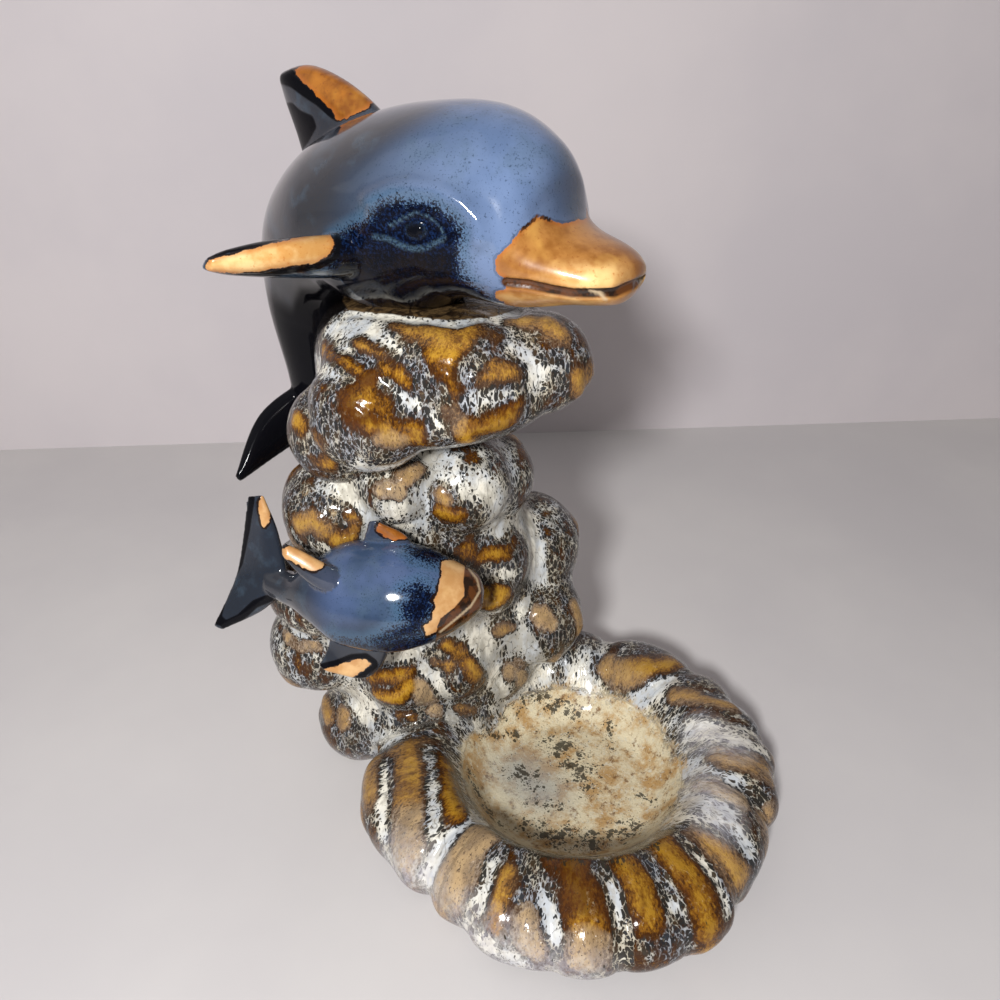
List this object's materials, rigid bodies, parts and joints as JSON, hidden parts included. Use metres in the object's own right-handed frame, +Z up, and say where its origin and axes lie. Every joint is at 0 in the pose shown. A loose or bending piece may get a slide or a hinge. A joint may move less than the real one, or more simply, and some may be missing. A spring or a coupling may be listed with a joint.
{
  "type": "ceramic dolphin figurine",
  "caption": "Glazed ceramic dolphin arched over a boulder on a lobed rock column, with a calf across the column and a scalloped dish at its foot.",
  "frame": {"origin": "on the table, under the middle of the figurine's bounding box", "axes": "+Z up, -Y the way the large dolphin faces, +X to the large dolphin's left"},
  "size_m": [0.1072, 0.1364, 0.1732],
  "materials": {
    "rock_glaze": "glossy reactive glaze, white over amber and black",
    "dish_glaze": "glossy reactive glaze, cream basin and amber lobes",
    "blue_glaze": "glossy blue glaze with black speckle",
    "fin_glaze": "glossy orange glaze with dark edges",
    "dark_glaze": "glossy black glaze"
  },
  "bodies": {
    "root": {"rock_base": "rock_glaze", "scallop_dish": "dish_glaze", "top_boulder": "rock_glaze", "dolphin_body": "blue_glaze", "dolphin_dorsal_fin": "fin_glaze", "dolphin_right_flipper": "fin_glaze", "dolphin_left_flipper": "fin_glaze", "dolphin_flukes": "dark_glaze", "calf_body": "blue_glaze", "calf_dorsal_fin": "fin_glaze", "calf_upper_flipper": "fin_glaze", "calf_lower_flipper": "fin_glaze", "calf_flukes": "blue_glaze"}
  },
  "joints": []
}
